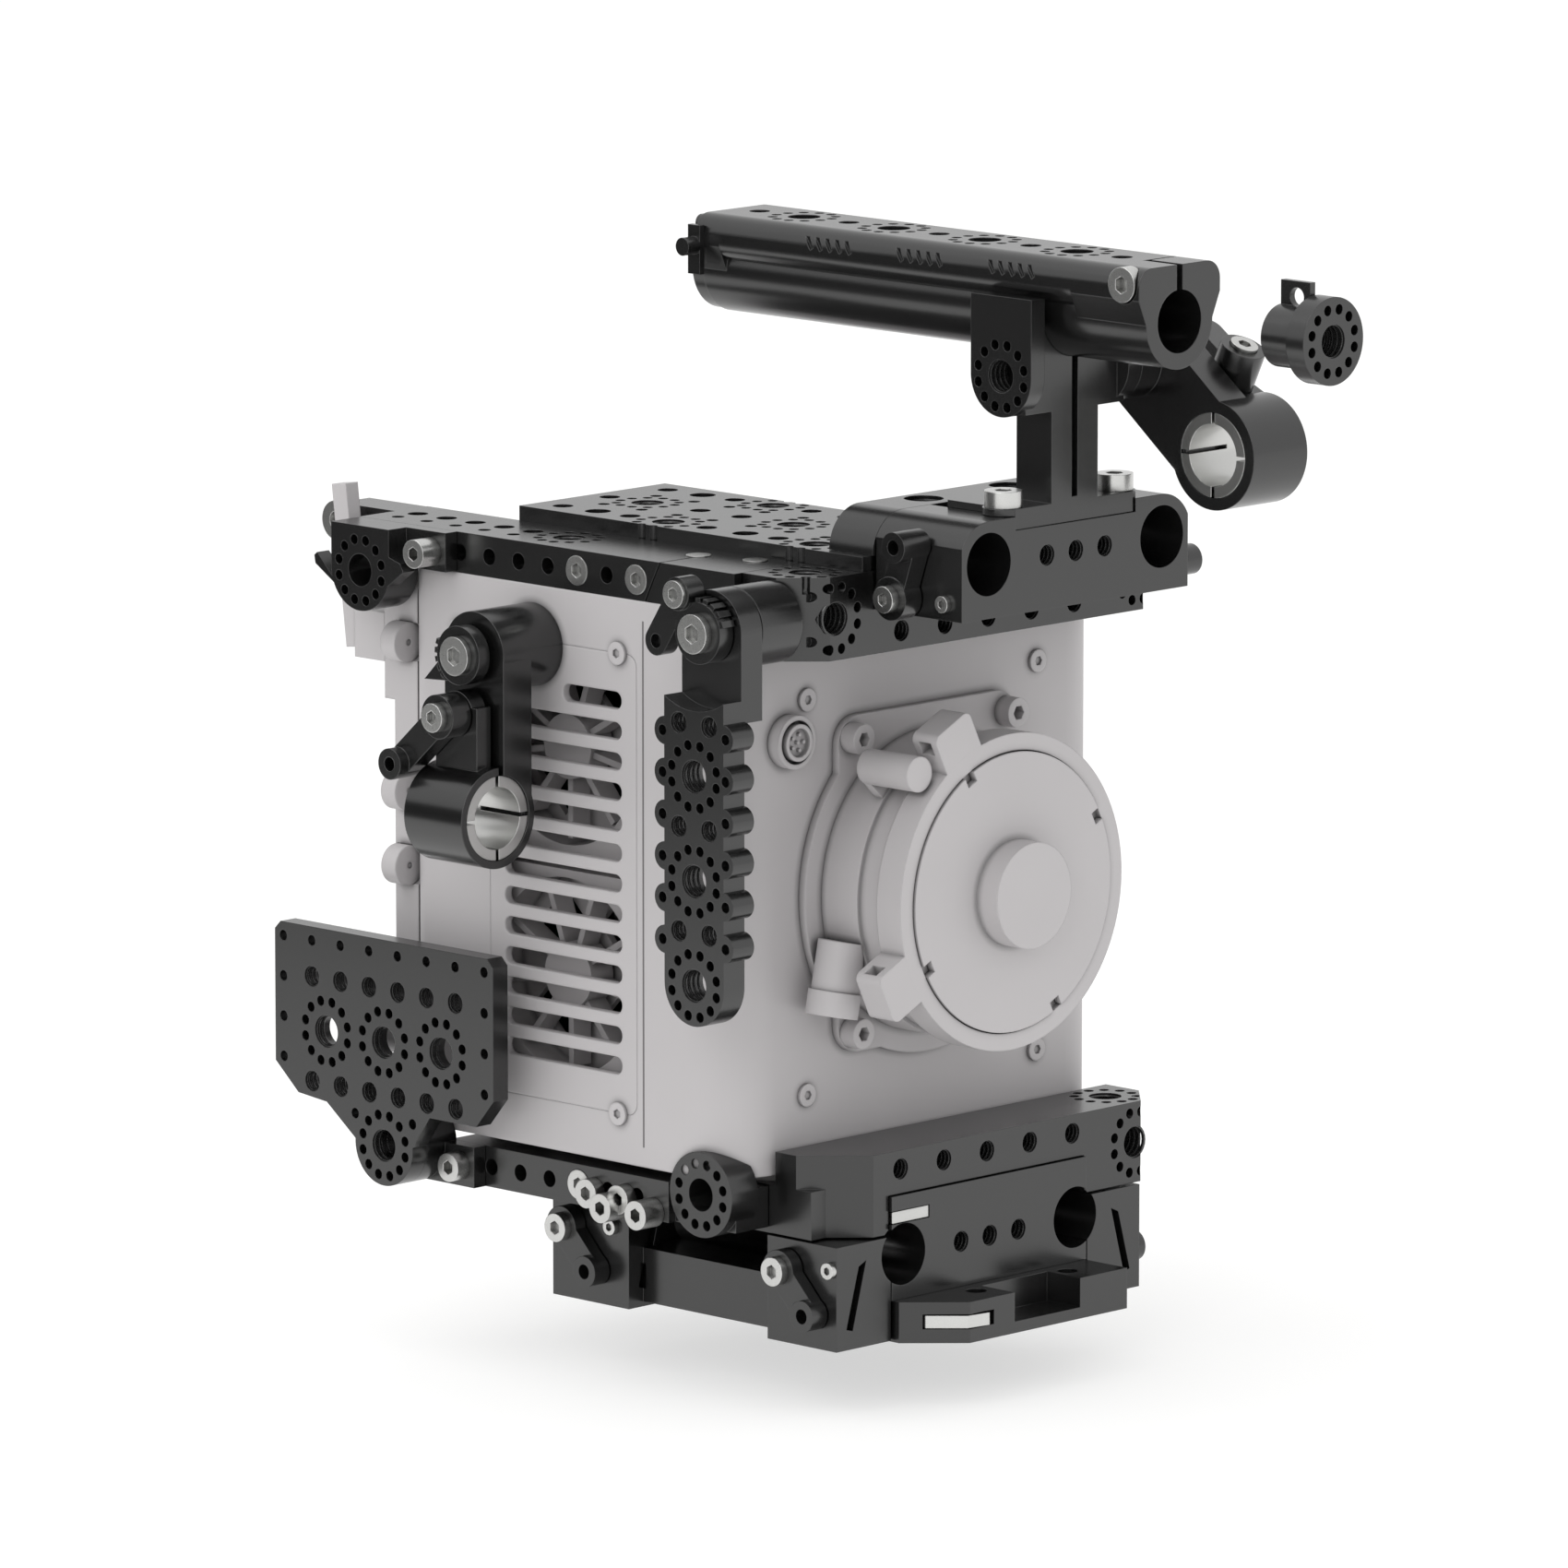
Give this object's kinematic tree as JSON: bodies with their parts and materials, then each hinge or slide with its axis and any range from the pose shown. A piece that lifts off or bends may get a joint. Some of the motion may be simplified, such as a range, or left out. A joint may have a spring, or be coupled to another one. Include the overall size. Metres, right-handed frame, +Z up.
{
  "type": "cinema camera rig",
  "caption": "Box-shaped cinema camera in a machined cage with a top handle, accessory arms, a hanging bracket, and rod clamps on a tripod base plate.",
  "frame": {"origin": "centre of the base plate's flat underside", "axes": "-Y is the way the lens looks, +X is the camera's side of the right arm, +Z is up"},
  "size_m": [0.1663, 0.2803, 0.2627],
  "materials": {
    "body_grey": "satin",
    "black_anodised": "satin anodised",
    "screw_silver": "machined",
    "bush_silver": "machined",
    "fan_black": "moulded",
    "board_green": "matt",
    "sink_metal": "brushed",
    "sensor_dark": "matt",
    "foot_rubber": "matt"
  },
  "bodies": {
    "root": {"body_shell": "body_grey", "front_cover": "body_grey", "vent_panel": "body_grey", "rear_cover": "body_grey", "rear_connectors": "body_grey", "front_socket": "body_grey", "body_screws": "screw_silver", "foot_pads": "foot_rubber", "sensor_block": "sensor_dark", "heat_sink": "sink_metal", "main_board": "board_green", "fan_frames": "fan_black", "mount_barrel": "body_grey", "port_cap": "body_grey", "mount_bolts": "body_grey", "lens_socket": "body_grey", "front_bar_upper": "black_anodised", "side_rail_upper": "black_anodised", "cheese_plate": "black_anodised", "rear_lug_upper": "black_anodised", "rear_stud": "screw_silver", "cage_screws": "screw_silver", "rear_latch": "black_anodised", "front_bar_lower": "black_anodised", "side_rail_lower": "black_anodised", "rear_lug_lower": "black_anodised", "side_plate": "black_anodised", "rod_block_upper": "black_anodised", "deck_plate": "black_anodised", "block_screws": "screw_silver", "handle_post": "black_anodised", "hanger_barrel": "black_anodised", "rod_bridge": "black_anodised", "base_plate": "black_anodised", "base_clamps": "black_anodised"},
    "fan_upper": {"fan_rotor_upper": "fan_black"},
    "fan_lower": {"fan_rotor_lower": "fan_black"},
    "ring": {"breech_ring": "body_grey"},
    "block_lever_body": {"block_lever": "black_anodised"},
    "lever_front": {"base_lever_front": "black_anodised"},
    "lever_rear": {"base_lever_rear": "black_anodised"},
    "lever_right": {"base_lever_right": "black_anodised"},
    "handle": {"handle_grip": "black_anodised", "handle_end_cap": "black_anodised", "handle_screws": "screw_silver", "handle_latch": "black_anodised"},
    "plug": {"end_plug": "black_anodised"},
    "arm_r": {"arm_right": "black_anodised", "arm_right_bush": "bush_silver", "arm_right_screws": "screw_silver"},
    "arm_r_lever": {"arm_right_lever": "black_anodised"},
    "arm_l": {"arm_left": "black_anodised", "arm_left_bush": "bush_silver", "arm_left_screws": "screw_silver"},
    "arm_l_knob": {"arm_left_knob": "black_anodised"},
    "arm_l_lever": {"arm_left_lever": "black_anodised"},
    "hanger": {"hanger_plate": "black_anodised"},
    "hanger_lever_body": {"hanger_lever": "black_anodised", "hanger_screws": "screw_silver"},
    "latch": {"plate_latch": "screw_silver"}
  },
  "joints": [
    {"name": "fan_upper_spin", "type": "hinge", "parent": "root", "child": "fan_upper", "pos_m": [-0.055, 0.038, 0.138], "axis": [1, 0, 0], "continuous": true},
    {"name": "fan_lower_spin", "type": "hinge", "parent": "root", "child": "fan_lower", "pos_m": [-0.055, 0.038, 0.082], "axis": [1, 0, 0], "continuous": true},
    {"name": "ring_turn", "type": "hinge", "parent": "root", "child": "ring", "pos_m": [0, -0.048, 0.106], "axis": [0, -1, 0], "range_deg": [-40, 0]},
    {"name": "block_lever_turn", "type": "hinge", "parent": "root", "child": "block_lever_body", "pos_m": [-0.042, -0.0545, 0.1825], "axis": [1, 0, 0], "range_deg": [-45, 40]},
    {"name": "front_lever_turn", "type": "hinge", "parent": "root", "child": "lever_front", "pos_m": [-0.056, -0.029, 0.0186], "axis": [1, 0, 0], "range_deg": [-15, 90]},
    {"name": "rear_lever_turn", "type": "hinge", "parent": "root", "child": "lever_rear", "pos_m": [-0.056, 0.0445, 0.0186], "axis": [1, 0, 0], "range_deg": [-15, 90]},
    {"name": "right_lever_turn", "type": "hinge", "parent": "root", "child": "lever_right", "pos_m": [0.056, -0.029, 0.0186], "axis": [1, 0, 0], "range_deg": [-15, 90]},
    {"name": "handle_slide", "type": "slide", "parent": "root", "child": "handle", "axis": [0, 1, 0], "range_m": [-0.04, 0.01]},
    {"name": "plug_slide", "type": "slide", "parent": "handle", "child": "plug", "axis": [0, 1, 0], "range_m": [0, 0.0428]},
    {"name": "right_arm_tilt", "type": "hinge", "parent": "root", "child": "arm_r", "pos_m": [0.014, -0.066, 0.234], "axis": [1, 0, 0], "range_deg": [-110, 0]},
    {"name": "right_arm_lever_turn", "type": "hinge", "parent": "arm_r", "child": "arm_r_lever", "pos_m": [0.042, -0.0822, 0.2254], "axis": [0, -0.4226, 0.9063], "range_deg": [-30, 18]},
    {"name": "left_arm_tilt", "type": "hinge", "parent": "root", "child": "arm_l", "pos_m": [-0.07, 0.0439, 0.163], "axis": [1, 0, 0], "range_deg": [-40, 40]},
    {"name": "left_knob_turn", "type": "hinge", "parent": "arm_l", "child": "arm_l_knob", "pos_m": [-0.09, 0.0439, 0.163], "axis": [1, 0, 0], "range_deg": [-20, 90]},
    {"name": "left_lever_turn", "type": "hinge", "parent": "arm_l", "child": "arm_l_lever", "pos_m": [-0.092, 0.0439, 0.149], "axis": [1, 0, 0], "range_deg": [0, 60]},
    {"name": "hanger_swing", "type": "hinge", "parent": "root", "child": "hanger", "pos_m": [-0.07, -0.034, 0.177], "axis": [1, 0, 0], "range_deg": [-100, 35]},
    {"name": "hanger_lever_turn", "type": "hinge", "parent": "root", "child": "hanger_lever_body", "pos_m": [-0.088, -0.034, 0.177], "axis": [1, 0, 0], "range_deg": [-30, 60]},
    {"name": "plate_latch_slide", "type": "slide", "parent": "root", "child": "latch", "axis": [0, 1, 0], "range_m": [0, 0.0028]}
  ]
}
